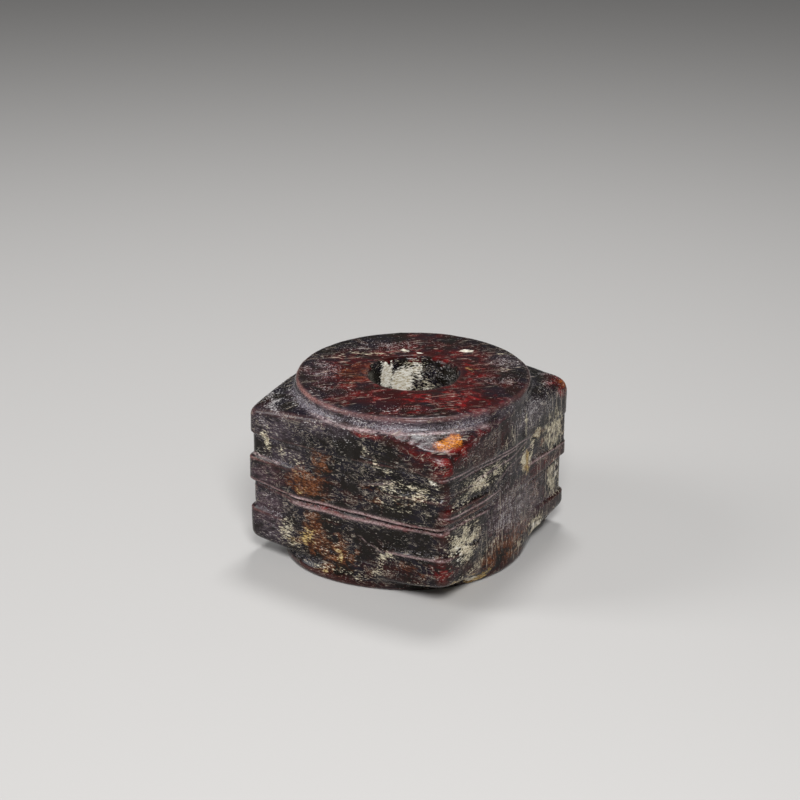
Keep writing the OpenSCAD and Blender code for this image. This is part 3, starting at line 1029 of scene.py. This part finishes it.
def surface(n):
    """Polished where the stone is bare, dull and rougher where it is crusted."""
    crusted = n.math("MAXIMUM", n.cream, n.times(n.math("MAXIMUM", n.dots, n.specks), 0.7))
    polish = n.blend(n.rise(n.cloud, 0.35, 0.65), 0.13, 0.24)
    polish = n.blend(n.mark("wear"), polish, 0.10)
    n.put(n.bsdf.inputs["Roughness"], n.blend(crusted, polish, 0.6))
    n.bsdf.inputs["Specular IOR Level"].default_value = 0.15
    bump = n.add("ShaderNodeBump")
    bump.inputs["Strength"].default_value = 0.45
    bump.inputs["Distance"].default_value = 0.25 * MM
    fine = n.times(n.fine, n.blend(crusted, 0.15, 1.0))
    n.put(bump.inputs["Height"], n.math("ADD", fine, n.times(n.grain, 0.35)))
    n.put(n.bsdf.inputs["Normal"], bump.outputs[0])


def jade():
    """The stone's material: each pigment and crust is laid over what came before it."""
    n = Nodes("jade")
    add_grains(n)
    colour = dark_stone(n)
    for layer in (pigments, crusts, veins, edges):
        colour = layer(n, colour)
    n.put(n.bsdf.inputs["Base Color"], colour)
    surface(n)
    return n.mat


def plain(name, colour, rough):
    """A material of one colour."""
    mat = bpy.data.materials.new(name)
    mat.use_nodes = True
    bsdf = mat.node_tree.nodes["Principled BSDF"]
    bsdf.inputs["Base Color"].default_value = (*colour, 1)
    bsdf.inputs["Roughness"].default_value = rough
    return mat


def aimed(name, data, place, aim):
    """An object that stands at place and looks at aim."""
    made = bpy.data.objects.new(name, data)
    bpy.context.scene.collection.objects.link(made)
    made.location = place
    made.rotation_mode = "QUATERNION"
    made.rotation_quaternion = (Vector(aim) - Vector(place)).to_track_quat("-Z", "Y")
    return made


def place_camera():
    """The photograph's view: 33 degrees round to the right of the left face, 25 above it."""
    focal_px, image_px, distance = 1782.0, 800.0, 960.0
    azimuth, elevation = math.radians(32.57), math.radians(24.54)
    level, height = math.cos(elevation), math.sin(elevation)
    back = Vector((math.sin(azimuth) * level, -math.cos(azimuth) * level, height))
    right = Vector((math.cos(azimuth), math.sin(azimuth), 0))
    up = back.cross(right)
    middle = Vector((0, 0, 48))
    left_of, above = 7.0, 30.6
    aim = middle - left_of * right + above * up
    data = bpy.data.cameras.new("camera")
    data.sensor_width = 36
    data.lens = focal_px / image_px * data.sensor_width
    data.clip_start, data.clip_end = 0.01, 10
    bpy.context.scene.camera = aimed("camera", data, (middle + distance * back) * MM, aim * MM)


# Lamps: name, place, width and height in m, and power in W. They look at LAMP_AIM.
LAMPS = [
    ("key", (0.62, -0.80, 0.95), 0.36, 0.36, 16),
    ("side", (-1.2, -0.9, 0.9), 0.6, 0.9, 12.5),
    ("over", (-0.15, 0.35, 1.2), 0.3, 0.25, 7),
]
LAMP_AIM = (0, 0, 0.05)
FLOOR_COLOUR, FLOOR_ROUGHNESS, FLOOR_SIDE = (0.50, 0.49, 0.48), 0.9, 8
WORLD_STRENGTH = 0.12


def softbox(name, place, width, height, watts):
    """A rectangular lamp that looks at the object."""
    data = bpy.data.lights.new(name, "AREA")
    data.shape, data.size, data.size_y, data.energy = "RECTANGLE", width, height, watts
    aimed(name, data, place, LAMP_AIM)


def set_stage():
    """The floor, the dim world and the lamps."""
    bpy.ops.mesh.primitive_plane_add(size=FLOOR_SIDE, location=(0, 0, 0))
    floor = bpy.context.object
    floor.name = "floor"
    floor.data.materials.append(plain("floor", FLOOR_COLOUR, FLOOR_ROUGHNESS))
    world = bpy.data.worlds.new("world")
    bpy.context.scene.world = world
    world.use_nodes = True
    background = world.node_tree.nodes["Background"]
    background.inputs["Color"].default_value = (1, 1, 1, 1)
    background.inputs["Strength"].default_value = WORLD_STRENGTH
    for lamp in LAMPS:
        softbox(*lamp)
    bpy.context.scene.view_settings.view_transform = "Standard"


place_camera()
stone = bpy.data.objects.new("cong_stone", stone_mesh())
bpy.context.scene.collection.objects.link(stone)
stone.data.materials.append(jade())
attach(stone, "root")
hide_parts("cong")
set_stage()
